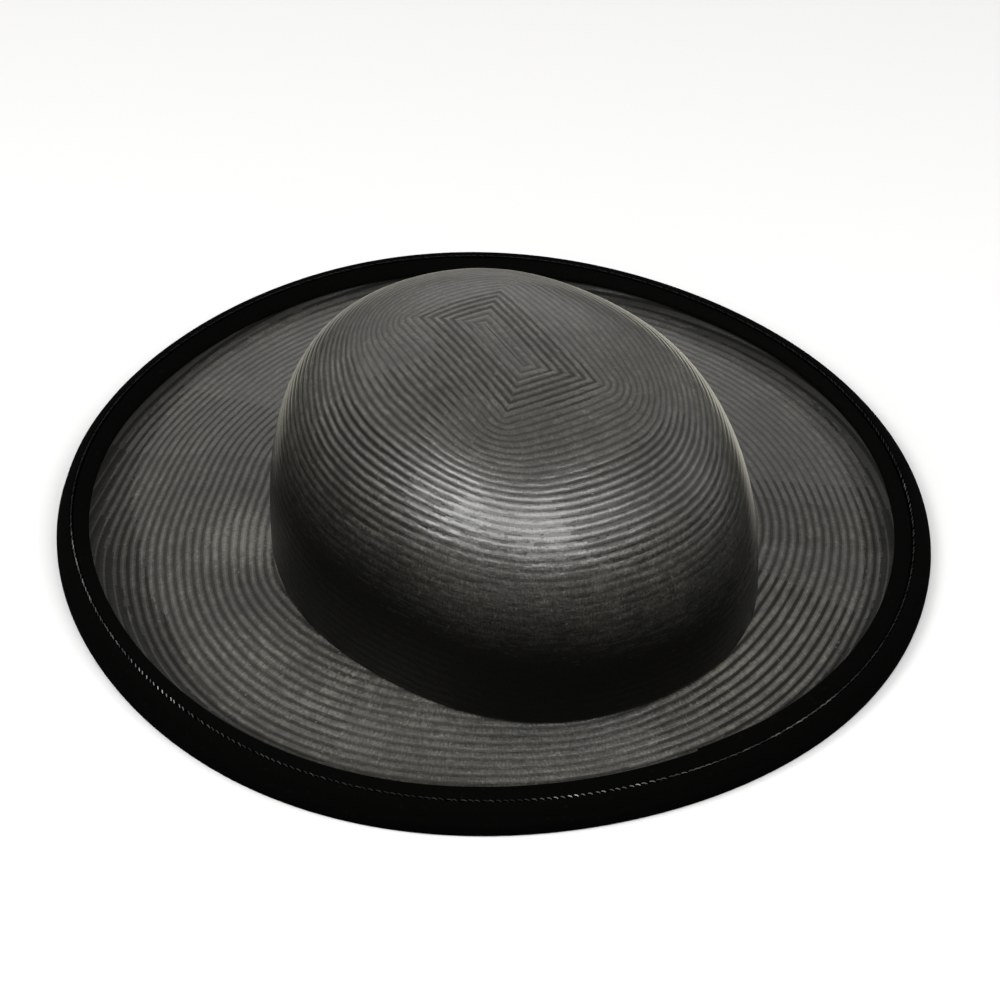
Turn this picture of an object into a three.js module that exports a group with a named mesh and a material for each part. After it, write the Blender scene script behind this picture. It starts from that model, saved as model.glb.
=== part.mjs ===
// Wide-brim straw hat lying on its brim edge. Millimetres, +Z up.
// The hat's back is at +Y and its front at -Y. The origin is on the table, under the middle of the brim.

import * as THREE from "three";

// Driving dimensions

const facetsAround = 72;
const gap = 0.3;

const brimRadius = 159.8;
const strawThickness = 1.5;
const strawEdgeHeight = 10.3;
const velvetThickness = 1.1;

const crownHeight = 88;
const crownBaseHeight = 17.5;
const crownHalfWidth = 83.6;
const crownHalfLength = 100.6;
const crownCentre = { x: 7.0, y: 24.9 };
const crownLean = { x: 3.3, y: 3.7 };
const crownShoulder = 2.46;
const crownFullness = 2.98;

const headbandHeight = 36;
const headbandThickness = 1.0;
const headbandEase = 0.25;

const valleyDepth = 4.0;
const valleyDistance = 14;
const narrowSpan = 20;
const wideSpan = 60;

const velvetEdgeWidth = 13.5;
const seamShare = 0.46;
const crestHeight = 12.2;
const strawEndPastSeam = 1.4;
const strawEndBelowCrest = 0.4;
const bindingRounding = 0.35;
const lipThickness = 1.4;
const lipTaper = 1.5;

// Outer section of the edge roll: inset is a share of the seam's inset plus millimetres, and height is
// a share of the crest's height plus millimetres

const rollSection = [
  { seam: 1.0, inset: 0.0, crestShare: 1.0, rise: -3.2 },
  { seam: 1.0, inset: 0.0, crestShare: 1.0, rise: -0.5 },
  { seam: 0.85, inset: 0.0, crestShare: 1.0, rise: 0.0 },
  { seam: 0.6, inset: 0.0, crestShare: 1.0, rise: -0.6 },
  { seam: 0.35, inset: 0.0, crestShare: 1.0, rise: -2.0 },
  { seam: 0.0, inset: 1.0, crestShare: 0.64, rise: 0.0 },
  { seam: 0.0, inset: 0.2, crestShare: 0.5, rise: 0.0 },
  { seam: 0.0, inset: 0.0, crestShare: 0.0, rise: 4.0 },
  { seam: 0.0, inset: 0.4, crestShare: 0.0, rise: 1.5 },
  { seam: 0.0, inset: 1.5, crestShare: 0.0, rise: 0.0 },
  { seam: 0.0, inset: 5.5, crestShare: 0.0, rise: 0.0 },
  { seam: 0.0, inset: 8.5, crestShare: 0.0, rise: 1.8 },
];

// Slow waves in the hand-blocked shape, in millimetres per wave count around the hat

const brimWaves = [
  { turns: 2, cosine: -1.5, sine: 0.0 },
  { turns: 3, cosine: 0.7, sine: 0.7 },
  { turns: 4, cosine: -0.45, sine: -0.35 },
  { turns: 5, cosine: -0.6, sine: 0.0 },
];
const crownWaves = [
  { turns: 3, cosine: -0.1, sine: 0.65 },
  { turns: 5, cosine: 0.15, sine: -0.2 },
  { turns: 6, cosine: 0.6, sine: -0.15 },
];
const crestWaves = [{ turns: 1, cosine: 1.6, sine: -1.8 }];
const velvetWaves = [
  { turns: 1, cosine: -1.2, sine: -0.4 },
  { turns: 2, cosine: 0.0, sine: 0.8 },
];

function wave(waves, angle) {
  let sum = 0;
  for (const { turns, cosine, sine } of waves) {
    sum += cosine * Math.cos(turns * angle) + sine * Math.sin(turns * angle);
  }
  return sum;
}

// Points on the edge of the brim: inset runs from the outermost line towards the crown

function edgePoint(angle, inset, height) {
  const radius = brimRadius + wave(brimWaves, angle) - inset;
  return new THREE.Vector3(radius * Math.cos(angle), radius * Math.sin(angle), height);
}

function velvetWidth(angle) {
  return velvetEdgeWidth + wave(velvetWaves, angle);
}

function seamInset(angle) {
  return seamShare * velvetWidth(angle);
}

function crest(angle) {
  return crestHeight + wave(crestWaves, angle);
}

// Points on the crown: level runs from 0 at its foot to 1 at its top, inset goes in through the wall

function crownPoint(angle, level, inset) {
  const girth = (1 - level ** crownShoulder) ** (1 / crownFullness);
  const bulge = wave(crownWaves, angle);
  return new THREE.Vector3(
    crownCentre.x + crownLean.x * level + (crownHalfWidth + bulge - inset) * girth * Math.cos(angle),
    crownCentre.y + crownLean.y * level + (crownHalfLength + bulge - inset) * girth * Math.sin(angle),
    crownBaseHeight + (crownHeight - inset) * level
  );
}

// Levels that space the crown's rings evenly along its curve

function evenLevels(count) {
  const samples = 400;
  const lengths = [0];
  let previous = crownPoint(0, 0, 0);
  for (let i = 1; i <= samples; i++) {
    const point = crownPoint(0, 1 - (1 - i / samples) ** crownFullness, 0);
    lengths.push(lengths[i - 1] + point.distanceTo(previous));
    previous = point;
  }
  const levels = [];
  for (let k = 0; k < count; k++) {
    const wanted = (lengths[samples] * k) / count;
    const i = lengths.findIndex((length) => length >= wanted);
    levels.push(1 - (1 - i / samples) ** crownFullness);
  }
  return levels;
}

// Points on the top of the brim: share runs from 0 at the crown's inner wall to 1 at the velvet's edge

function brimPoint(angle, share, depth) {
  const inner = crownPoint(angle, 0, strawThickness);
  const outer = edgePoint(angle, velvetWidth(angle), 0);
  const point = inner.clone().setZ(0).lerp(outer, share);
  const span = outer.distanceTo(inner.setZ(0));
  const fromEdge = (1 - share) * span;
  const reach = fromEdge / valleyDistance;
  const wide = THREE.MathUtils.clamp((span - narrowSpan) / (wideSpan - narrowSpan), 0, 1);
  const valley = valleyDepth * wide * reach * Math.exp(1 - reach) * share;
  const slope = (crownBaseHeight - strawEdgeHeight) * (1 - share);
  return point.setZ(strawEdgeHeight + slope - valley - depth);
}

// Straw under the binding: share runs from 0 at the velvet's visible edge to 1 at the end of the straw

function hiddenStrawPoint(angle, share, depth) {
  const start = velvetWidth(angle);
  const end = seamInset(angle) + strawEndPastSeam;
  const endHeight = crest(angle) - velvetThickness - gap - strawEndBelowCrest;
  const height = THREE.MathUtils.lerp(strawEdgeHeight, endHeight, share);
  return edgePoint(angle, THREE.MathUtils.lerp(start, end, share), height - depth);
}

// Closed surface through rings of points. A ring of one point is a pole. Without poles the last ring
// joins the first.

function loft(rings) {
  const positions = [];
  const starts = [];
  for (const ring of rings) {
    starts.push(positions.length / 3);
    for (const point of ring) {
      positions.push(point.x, point.y, point.z);
    }
  }
  const hasPoles = rings[0].length === 1;
  const bands = hasPoles ? rings.length - 1 : rings.length;
  const faces = [];
  for (let band = 0; band < bands; band++) {
    const next = (band + 1) % rings.length;
    for (let i = 0; i < facetsAround; i++) {
      const j = (i + 1) % facetsAround;
      if (rings[band].length === 1) {
        faces.push(starts[band], starts[next] + j, starts[next] + i);
      } else if (rings[next].length === 1) {
        faces.push(starts[band] + i, starts[band] + j, starts[next]);
      } else {
        faces.push(starts[band] + i, starts[band] + j, starts[next] + i);
        faces.push(starts[band] + j, starts[next] + j, starts[next] + i);
      }
    }
  }
  const geometry = new THREE.BufferGeometry();
  geometry.setAttribute("position", new THREE.Float32BufferAttribute(positions, 3));
  geometry.setIndex(faces);
  geometry.computeVertexNormals();
  return geometry;
}

// One ring around the hat, from a function of the angle

function ringOf(pointAt) {
  const ring = [];
  for (let i = 0; i < facetsAround; i++) {
    ring.push(pointAt((2 * Math.PI * i) / facetsAround));
  }
  return ring;
}

function sharesOf(steps) {
  return Array.from({ length: steps + 1 }, (_, k) => k / steps);
}

// Crown: a hollow oval dome of straw, open below, standing just clear of the brim

function crownGeometry() {
  const foot = gap / (crownHeight - strawThickness);
  const wall = (count, inset) =>
    evenLevels(count).map((level) => ringOf((angle) => crownPoint(angle, Math.max(level, foot), inset)));
  const outerTop = [crownPoint(0, 1, 0)];
  const innerTop = [crownPoint(0, 1, strawThickness)];
  return loft([innerTop, ...wall(11, strawThickness).reverse(), ...wall(14, 0), outerTop]);
}

// Brim: a sloping ring of straw, with a shallow valley before its edge turns up under the velvet

function brimGeometry() {
  const face = (depth) => [
    ...sharesOf(8).map((share) => ringOf((angle) => brimPoint(angle, share, depth))),
    ...[0.5, 1].map((share) => ringOf((angle) => hiddenStrawPoint(angle, share, depth))),
  ];
  return loft([...face(strawThickness), ...face(0).reverse()]);
}

// Headband: a thin band standing inside the foot of the crown

function headbandGeometry() {
  const face = (inset) =>
    sharesOf(4).map((share) =>
      ringOf((angle) => {
        const height = THREE.MathUtils.lerp(-strawThickness, headbandHeight, share);
        const level = Math.max(height, 0) / crownHeight;
        return crownPoint(angle, level, inset).setZ(crownBaseHeight + height);
      })
    );
  const clearance = strawThickness + gap + headbandEase;
  return loft([...face(clearance), ...face(clearance + headbandThickness).reverse()]);
}

// Edge binding: a narrow velvet strip over the last straw, from its inner edge out to the seam

function edgeBindingGeometry() {
  const shares = sharesOf(4);
  const thicknessAt = (share) => velvetThickness * (1 - bindingRounding * (2 * share - 1) ** 4);
  const bottom = shares.map((share) => ringOf((angle) => hiddenStrawPoint(angle, share, -gap)));
  const top = shares.map((share) =>
    ringOf((angle) => hiddenStrawPoint(angle, share, -gap - thicknessAt(share)))
  );
  return loft([...bottom, ...top.reverse()]);
}

// Edge roll: the thick outer velvet edge, with a flat foot that rests on the table. It goes from the
// seam over the crest, down the outside, across the foot and up to the straw again.

function edgeRollGeometry() {
  const outside = rollSection.map(({ seam, inset, crestShare, rise }) => (angle) =>
    edgePoint(angle, seam * seamInset(angle) + inset, crestShare * crest(angle) + rise)
  );
  const lipHeight = strawEdgeHeight - strawThickness;
  const underside = [
    (angle) => edgePoint(angle, velvetWidth(angle) - lipTaper, lipHeight - 2 * lipThickness),
    (angle) => edgePoint(angle, velvetWidth(angle), lipHeight - lipThickness),
    (angle) => hiddenStrawPoint(angle, 0, strawThickness + gap),
    (angle) => hiddenStrawPoint(angle, 1, strawThickness + gap),
  ];
  return loft([...outside, ...underside].map(ringOf).reverse());
}

// Materials

const straw = { color: 0x3a3936, roughness: 0.35, metalness: 0.0 };
const velvet = { color: 0x0c0c0b, roughness: 0.95, metalness: 0.0 };
const ribbon = { color: 0x101010, roughness: 0.7, metalness: 0.0 };

function piece(name, geometry, finish) {
  const mesh = new THREE.Mesh(geometry, new THREE.MeshStandardMaterial(finish));
  mesh.name = name;
  return mesh;
}

// The hat, moved so that the middle of its brim is over the origin

const hat = new THREE.Group();
hat.add(piece("crown", crownGeometry(), straw));
hat.add(piece("brim", brimGeometry(), straw));
hat.add(piece("headband", headbandGeometry(), ribbon));
hat.add(piece("edge_binding", edgeBindingGeometry(), velvet));
hat.add(piece("edge_roll", edgeRollGeometry(), velvet));

const outline = new THREE.Box3().setFromPoints(ringOf((angle) => edgePoint(angle, 0, 0)));
const middle = outline.getCenter(new THREE.Vector3());
hat.position.set(-middle.x, -middle.y, 0);

export default hat;
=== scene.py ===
import math

import bpy
import numpy as np
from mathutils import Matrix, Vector


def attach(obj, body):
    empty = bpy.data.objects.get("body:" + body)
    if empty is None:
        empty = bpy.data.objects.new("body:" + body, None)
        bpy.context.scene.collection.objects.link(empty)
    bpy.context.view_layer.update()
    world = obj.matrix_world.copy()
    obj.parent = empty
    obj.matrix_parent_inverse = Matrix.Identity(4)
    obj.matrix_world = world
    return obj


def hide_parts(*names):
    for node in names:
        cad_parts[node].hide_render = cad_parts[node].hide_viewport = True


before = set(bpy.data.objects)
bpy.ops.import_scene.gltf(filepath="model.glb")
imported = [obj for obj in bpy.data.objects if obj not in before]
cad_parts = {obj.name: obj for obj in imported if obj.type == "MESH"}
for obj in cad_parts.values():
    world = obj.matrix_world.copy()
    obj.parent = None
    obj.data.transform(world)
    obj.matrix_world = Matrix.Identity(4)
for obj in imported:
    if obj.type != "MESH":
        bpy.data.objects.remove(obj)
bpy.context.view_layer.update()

# Wide-brim straw hat lying on its brim edge. Sizes below are millimetres; the scene is in metres.

MM = 0.001
TURN = 2 * math.pi
SEED = 7

# Camera

CAMERA_AZIMUTH = 150.0
CAMERA_ELEVATION = 39.5
CAMERA_DISTANCE = 1400.0
CAMERA_AIM = (0.42, 7.08, 20.0)
CAMERA_LENS = 138.9
SENSOR_WIDTH = 36.0

# The hat's main sizes, the same as in the solids

BRIM_RADIUS = 159.8
STRAW_THICKNESS = 1.5
STRAW_EDGE_HEIGHT = 10.3
VELVET_THICKNESS = 1.1
GAP = 0.3
CROWN_HEIGHT = 88.0
CROWN_BASE = 17.5
CROWN_HALF_WIDTH = 83.6
CROWN_HALF_LENGTH = 100.6
CROWN_CENTRE = (7.0, 24.9)
CROWN_LEAN = (3.3, 3.7)
CROWN_SHOULDER = 2.46
CROWN_FULLNESS = 2.98
HEADBAND_HEIGHT = 36.0
HEADBAND_CLEARANCE = 2.05
VALLEY_DEPTH = 4.0
VALLEY_DISTANCE = 14.0
NARROW_SPAN = 20.0
WIDE_SPAN = 60.0
VELVET_WIDTH = 13.5
SEAM_SHARE = 0.46
CREST_HEIGHT = 12.2
STRAW_END_PAST_SEAM = 1.4
STRAW_END_BELOW_CREST = 0.4
LIP_THICKNESS = 1.4
LIP_TAPER = 1.5
EDGE_POINTS = 72

# Slow waves in the hand-blocked shape: (turns, cosine, sine)

BRIM_WAVES = ((2, -1.5, 0.0), (3, 0.7, 0.7), (4, -0.45, -0.35), (5, -0.6, 0.0))
CROWN_WAVES = ((3, -0.1, 0.65), (5, 0.15, -0.2), (6, 0.6, -0.15))
CREST_WAVES = ((1, 1.6, -1.8),)
VELVET_WAVES = ((1, -1.2, -0.4), (2, 0.0, 0.8))

# One row of braid, from groove to groove

ROW_STEPS = (0.0, 0.2, 0.4, 0.6, 0.8)
ROW_RELIEF = (0.0, 0.55, 0.95, 0.85, 0.45)
# Painted shade in the grooves, with the rows' own dull overlap: duller faces towards each groove
ROW_GROOVE_SHADE = (1.0, 0.3, 0.0, 0.3, 1.0)
ROW_HEIGHT = 0.4
ROW_SETBACK = 0.3
PLAIT_LENGTH = 1.9

# Unevenness of the rows: how far they wander and how much their height varies

SHARED_WANDER = 0.1
OWN_WANDER = 0.16
OWN_WANDER_CHANGE = 15
WANDER_START = 12.0
HEIGHT_VARIETY = 0.35
HEIGHT_VARIETY_CHANGE = 19
RIPPLES = 9

# How far faces of two finishes mix where painted shade changes their shine

CROWN_MINGLING = 1.0
BRIM_MINGLING = 0.3
STREAK_COLUMNS = 4

# The crown's rows

CROWN_PITCH = 2.75
CROWN_PITCH_GROWTH = 0.012
CROWN_FIRST_ROW, CROWN_LAST_ROW = -1, 50
FLAT_ROWS_BELOW = 59.0
FLAT_ROW_SHARE = 0.2
FLAT_ROWS_ABOVE = 93.0
TOP_ROW_SHARE = 0.6
TOP_ROW_FADE = 6.0
# Painted light at the crown's top: its lightness, and how far below and past the flat top rows it takes over
TOP_LIGHTNESS = 0.9
TOP_LIGHTNESS_BELOW, TOP_LIGHTNESS_PAST = 3.0, 5.0
CORE_ROW_SHARE = 0.6
CORE_ROW_FADE = 10.0
EVEN_ROWS_WITHIN = 30.0
EVEN_ROWS_FADE = 20.0
CORE_CENTRE = (-1.5, -5.2)
CORE_HALF_LENGTH = 13.4
END_STRETCH = 1.12
MITRE_REACH = 19.0
ROUNDING_START = 6.0
ROUNDING_END = 68.0
CROWN_REACH = 143.0
CROWN_REACH_SPARE = 6.0
PATH_COUNT = 90
PATH_SAMPLES = 500
# Painted shade towards the crown's foot: darkest below the first height, gone above the second
SHADE_DARKEST_BELOW = 38.0
SHADE_GONE_ABOVE = 87.0
CROWN_COLUMNS = 360

# The brim's rows

BRIM_PITCH = 3.38
BRIM_FIRST_ROW, BRIM_LAST_ROW = -10, 21
BRIM_COLUMNS = 420
BRIM_START = 9.5
BRIM_TURN_START = 160.0
BRIM_TURN_END = 300.0
NORMAL_STEP = 0.4

# The brim's rows leave the edge's curve: (angle, spacing against the pitch, distance drifted inward)

BRIM_ROWS = (
    (0, 0.96, 6.8), (10, 1.02, 2.9), (20, 1.06, 0), (45, 1.04, 0), (60, 0.92, 0), (74, 0.78, 0),
    (86, 0.88, 0), (96, 0.96, 0), (104, 1.01, 1.6), (112, 1.02, 4.2), (120, 0.98, 7.6),
    (132, 0.94, 9.6), (144, 0.93, 11), (152, 0.93, 13.4), (180, 0.97, 18), (230, 0.97, 24),
    (300, 0.92, 28), (308, 0.9, 26.4), (320, 0.93, 25.8), (328, 0.98, 23.4), (336, 1.02, 17.2),
    (348, 1.01, 12.2), (360, 0.96, 6.8),
)

# Rounding of the corners in the tables by angle, in degrees

TABLE_ROUNDING = 5
TABLE_SPARE = 60

# Rows around the crown: (angle, depth, height where they are full, painted lightness for light and shade on
# each side, lift of the painted shade at the foot)

CROWN_DEPTHS_AND_PAINTED_LIGHT = (
    (0, 1, 88, 0.85, 11), (20, 0.95, 90, 0.9, 11), (35, 0.75, 95, 1, 9), (45, 0.55, 100, 1, 6),
    (55, 0.42, 103, 1, 5), (66, 0.42, 103, 1, 5), (74, 0.55, 94, 1, 3), (82, 0.75, 84, 1, 0),
    (105, 0.8, 82, 0.7, -4), (118, 0.65, 84, 0.5, -6), (132, 0.45, 84, 0.7, -7),
    (148, 0.45, 84, 2, -7), (170, 0.45, 84, 2, -5), (230, 0.5, 84, 1, 0), (300, 0.45, 84, 0.8, 4),
    (322, 0.6, 84, 1.7, 4), (334, 0.75, 84, 1.5, 6), (348, 0.9, 86, 0.8, 10), (360, 1, 88, 0.85, 11),
)

# Rows around the brim: (angle, depth, painted lightness near the crown, negative for painted shade)

BRIM_DEPTHS_AND_PAINTED_LIGHT = (
    (0, 0.65, -0.1), (20, 0.6, 0.4), (40, 0.48, 0.5), (55, 0.35, 0.1), (66, 0.26, -0.7), (80, 0.3, -1),
    (88, 0.7, -0.6), (97, 1, 1), (110, 1, 1), (130, 0.8, -0.1), (150, 0.55, -0.3), (170, 0.4, -0.2),
    (200, 0.45, -0.2), (300, 0.5, -0.15), (325, 0.6, -0.2), (345, 0.7, -0.3), (360, 0.65, -0.1),
)
PAINTED_LIGHT_START, PAINTED_LIGHT_FULL = 4.0, 32.0

# Painted shade on the straw beside the velvet roll, darker and duller over this distance: (angle,
# millimetres)

RIM_SHADES = (
    (0, 24), (15, 10), (40, 3), (100, 3), (120, 8), (140, 16), (200, 18), (240, 8), (290, 8),
    (305, 16), (340, 28), (360, 24),
)
RIM_SHADE_TONE = 0.05
RIM_SHADE_DULLNESS = 0.6

# Painted highlight and painted shadow on the brim beside the crown's foot: (x, y, reach, gain)

BRIM_HIGHLIGHT_AND_SHADOW = ((88, -24, 15, 2.6), (98, 5, 13, -0.6))

# Straw finish, from glossy to dull: (specular level, fuzz); the duller copies carry painted shade

STRAW_FINISHES = ((0.8, 0.22), (0.5, 0.2), (0.26, 0.12), (0.09, 0.015))
STRAW_ROUGHNESS = 0.36
PALEST = 0.03
DARKEST = 0.0014
GROOVE_SHARE = 0.12
SHEEN_ROUGHNESS = 0.14
SHEEN_TINT = (1.0, 0.98, 0.93, 1)

# Painted sheen lightens the straw where it turns edge-on: (facing where it starts, where it is full)

PAINTED_GLOW_FACING = (0.74, 1.0)
PAINTED_EDGE_GLOW = 0.36

# Straw pattern: how finely each noise runs along and across the rows, or its scale in space

TICK_STRETCH = (1.8, 1.1)
STREAK_STRETCH = (0.2, 1.4)
GRAIN_SCALE = 1300.0
PATCH_SCALE = 55.0
FLECK_SCALE = 650.0

# Straw pattern: (lowest noise, highest noise, lightness at the lowest, lightness at the highest)

TICKS = (0.3, 0.7, 0.4, 1.6)
STREAKS = (0.3, 0.7, 0.45, 1.55)
PATCHES = (0.35, 0.65, 0.75, 1.25)
GRAIN = (0.3, 0.7, 0.5, 1.5)
FLECKS = (0.7, 0.78, 0.0, 0.5)
STRANDS = (0.0, 1.0, 0.85, 1.0)

# Velvet: noise scales, dust and finish

PILE_SCALE = 2600.0
BRUSHED_SCALE = 120.0
DUST_SCALE = 420.0
DUST = (0.62, 0.78)
DUST_SHARE = 0.35
VELVET_BLACK = (0.0004, 0.0004, 0.0003, 1)
VELVET_DUST = (0.0024, 0.0026, 0.0018, 1)
VELVET_SHEEN = 0.001
VELVET_SHEEN_ROUGHNESS = 0.35
VELVET_SHEEN_TINT = (0.75, 0.78, 0.66, 1)
VELVET_SPECULAR = 0.02
VELVET_ROUGHNESS = 0.95

# Ribbon and thread

RIB_SPACING = 0.8
RIBBON_GRAIN_SCALE = 700.0
RIBBON_GROOVE, RIBBON_RIB = 0.004, 0.012
RIBBON_ROUGHNESS = 0.6
TWIST_SCALE = 1800.0
THREAD_SUNK, THREAD_BARE = 0.002, 0.22
THREAD_ROUGHNESS = 0.7
THREAD_SPECULAR = 0.05

# Bump of each material: (strength, distance in metres)

STRAW_BUMP = (0.6, 0.0002)
VELVET_BUMP = (0.6, 0.0005)
RIBBON_BUMP = (0.8, 0.0002)
THREAD_BUMP = (0.4, 0.0001)

# A crease pressed into the brim beside the crown's foot: from, to, depth and reach

CREASE_FROM = (89.1, 2.0)
CREASE_TO = (121.0, -11.6)
CREASE_DEPTH = 0.9
CREASE_REACH = 9.0
CREASE_FULL_SHARE = 0.45

# Roll section: (share of the seam's inset, inset, share of the crest's height, rise)

ROLL_SECTION = (
    (1.0, 0.0, 1.0, -3.2),
    (1.0, 0.0, 1.0, -0.5),
    (0.85, 0.0, 1.0, 0.0),
    (0.6, 0.0, 1.0, -0.6),
    (0.35, 0.0, 1.0, -2.0),
    (0.0, 1.0, 0.64, 0.0),
    (0.0, 0.2, 0.5, 0.0),
    (0.0, 0.0, 0.0, 4.0),
    (0.0, 0.4, 0.0, 1.5),
    (0.0, 1.5, 0.0, 0.0),
    (0.0, 5.5, 0.0, 0.0),
    (0.0, 8.5, 0.0, 1.8),
)
ROLL_COLUMNS = 400
ROLL_SAMPLES = 56

# Binding section: (share of the way from the straw's edge to the seam, rise above the straw)

BINDING_SECTION = ((0, 0.05), (0.33, 0.0), (0.66, 0.0), (1, 0.0), (1, 1.0), (0.66, 1.1), (0.33, 1.1),
                   (0.06, 0.95), (-0.03, 0.5))
BINDING_COLUMNS = 410
BINDING_SAMPLES = 30

# The binding's overlapped end: angles in degrees around the hat, widths in millimetres

JOIN_ANGLE = 88.5
JOIN_OVERLAP = 5.0
JOIN_EXTRA_WIDTH = 0.6
JOIN_WIDE_UNTIL, JOIN_NARROW_FROM = 4, 45
JOIN_LIFT = 0.5
JOIN_LIFT_FADE = 6

# The ribbon inside the crown, overlapped at the back of the hat

RIBBON_THICKNESS = 0.55
RIBBON_BELOW_FOOT = 0.6
RIBBON_SLACK = 0.25
RIBBON_SLACK_RIPPLES = 8
RIBBON_OVERLAP = 6
RIBBON_END_LIFT = 1.2
RIBBON_LIFT_FROM, RIBBON_LIFT_UNTIL = 358, 361
RIBBON_COLUMNS = 380
RIBBON_ROWS = 9

# Stitches along the seam

STITCH_LINE_INSET = 6
STITCH_SPACING = 2.4
STITCH_SPACING_VARIETY = 0.18
STITCH_RADIUS = 0.22
STITCH_PAST_SEAM = 0.35
STITCH_SINK = 0.15
STITCH_TILT = 0.25
STITCH_SLANT, STITCH_SLANT_VARIETY = 0.12, 0.05
SHORT_STITCH, LONG_STITCH = 1.9, 2.6
SHORT_STITCH_SLANT = 0.5
THREAD_DARKEST, THREAD_LIGHTEST, THREAD_CONTRAST = 0.3, 1.1, 1.5
THREAD_SIDES = 6

# Rings of one stitch: (place along it, share of the radius, hump outward in radii)

STITCH_RINGS = ((-0.5, 0.35, -0.6), (-0.3, 0.9, 0.3), (0.0, 1.0, 0.7), (0.3, 0.9, 0.3), (0.5, 0.35, -0.6))

# How the thread shows along the seam: (angle, lightness, stitch length)

THREAD_SHOWS = (
    (0, 0.2, 2.6), (4, 0.2, 2.2), (7, 0.75, 1.9), (13, 0.7, 1.9), (17, 0.12, 2.2), (45, 0.04, 2.4),
    (64, 0.05, 2.2), (69, 0.7, 1.8), (77, 0.7, 1.8), (81, 0.2, 2.2), (86, 0.25, 2.4), (89, 0.1, 2.8),
    (97, 0.12, 3.1),
    (101, 0.3, 3.1), (107, 0.3, 3.1), (111, 0.04, 2.6), (140, 0.04, 2.4), (153, 0.15, 2.4), (155, 0.45, 2.4),
    (158, 0.05, 2.4), (200, 0.02, 2.4), (300, 0.02, 2.4), (334, 0.03, 2.7), (339, 0.3, 2.7), (350, 0.4, 2.7),
    (354, 0.2, 3.0), (360, 0.2, 2.6),
)

# Studio: (name, azimuth and elevation in degrees, distance and size in metres, watts)

LIGHTS = (
    ("key", 128, 46, 1.7, 0.8, 7),
    ("key_left", 90, 46, 1.7, 0.9, 25),
    ("key_right", 160, 51, 1.7, 0.9, 18),
    ("key_side", 202, 49, 1.7, 0.9, 15),
    ("back_low", -30, 20, 2.4, 1.2, 3),
    ("back_left", 10, 36, 2.4, 1.4, 2),
    ("left", 40, 18, 2.0, 1.2, 2),
    ("right", -100, 18, 2.0, 1.2, 5),
)
LIGHTS_AIM_HEIGHT = 0.05
WORLD_STRENGTH = 0.6
WORLD_GROUND = (0.12, 0.12, 0.11, 1)
WORLD_SKY = (1.0, 0.985, 0.96, 1)
HORIZON_START, HORIZON_END = -0.12, 0.1
FLOOR_HALF_SIZE = 8
FLOOR_COLOUR = (0.5, 0.5, 0.5, 1)


def wave(waves, angle):
    return sum(cosine * np.cos(turns * angle) + sine * np.sin(turns * angle) for turns, cosine, sine in waves)


def smooth(value, low, high):
    t = np.clip((value - low) / (high - low), 0, 1)
    return t * t * (3 - 2 * t)


def edge_radius(angle):
    return BRIM_RADIUS + wave(BRIM_WAVES, angle)


def velvet_width(angle):
    return VELVET_WIDTH + wave(VELVET_WAVES, angle)


def seam_inset(angle):
    return SEAM_SHARE * velvet_width(angle)


def crest(angle):
    return CREST_HEIGHT + wave(CREST_WAVES, angle)


def hat_shift():
    """Moves the middle of the brim's bounding box to the origin."""
    angle = np.arange(EDGE_POINTS) * TURN / EDGE_POINTS
    x, y = edge_radius(angle) * np.cos(angle), edge_radius(angle) * np.sin(angle)
    return np.array([-(x.max() + x.min()) / 2, -(y.max() + y.min()) / 2, 0.0])


SHIFT = hat_shift()


def edge_point(angle, inset, height):
    radius = edge_radius(angle) - inset
    return np.stack(np.broadcast_arrays(radius * np.cos(angle), radius * np.sin(angle), height), -1)


def crown_point(angle, level, inset=0.0):
    girth = (1 - level**CROWN_SHOULDER) ** (1 / CROWN_FULLNESS)
    bulge = wave(CROWN_WAVES, angle) - inset
    return np.stack(np.broadcast_arrays(
        CROWN_CENTRE[0] + CROWN_LEAN[0] * level + (CROWN_HALF_WIDTH + bulge) * girth * np.cos(angle),
        CROWN_CENTRE[1] + CROWN_LEAN[1] * level + (CROWN_HALF_LENGTH + bulge) * girth * np.sin(angle),
        CROWN_BASE + (CROWN_HEIGHT - inset) * level,
    ), -1)


def unit(vectors):
    return vectors / np.maximum(np.linalg.norm(vectors, axis=-1, keepdims=True), 1e-9)


# Meshes


def mesh_piece(name, points, faces, materials, uvs=None, values=None, choice=None):
    """A smooth-shaded piece from points in millimetres; choice is the material of each face."""
    mesh = bpy.data.meshes.new(name)
    mesh.from_pydata(((points + SHIFT) * MM).tolist(), [], faces)
    if uvs is not None:
        layer = mesh.uv_layers.new(name="braid")
        layer.data.foreach_set("uv", np.asarray(uvs, dtype=np.float32).ravel())
    for key, value in (values or {}).items():
        layer = mesh.attributes.new(key, "FLOAT", "POINT")
        layer.data.foreach_set("value", np.asarray(value, dtype=np.float32).ravel())
    mesh.polygons.foreach_set("use_smooth", [True] * len(mesh.polygons))
    for material in materials:
        mesh.materials.append(material)
    if choice is not None:
        mesh.polygons.foreach_set("material_index", choice)
    mesh.update()
    piece = bpy.data.objects.new(name, mesh)
    bpy.context.scene.collection.objects.link(piece)
    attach(piece, "root")
    return piece


def ripple(seed, along, across, waves):
    """Slow seeded unevenness between -1 and 1; along is an angle, across a distance in millimetres."""
    rng = np.random.default_rng(seed)
    total = 0.0
    for _ in range(waves):
        turns = rng.integers(3, 40)
        total = total + np.sin(turns * along + rng.uniform(-0.25, 0.25) * across + rng.uniform(0, TURN))
    return total / waves


# Crown: braid rows that start as nested mitred rectangles and round off into the oval


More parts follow.
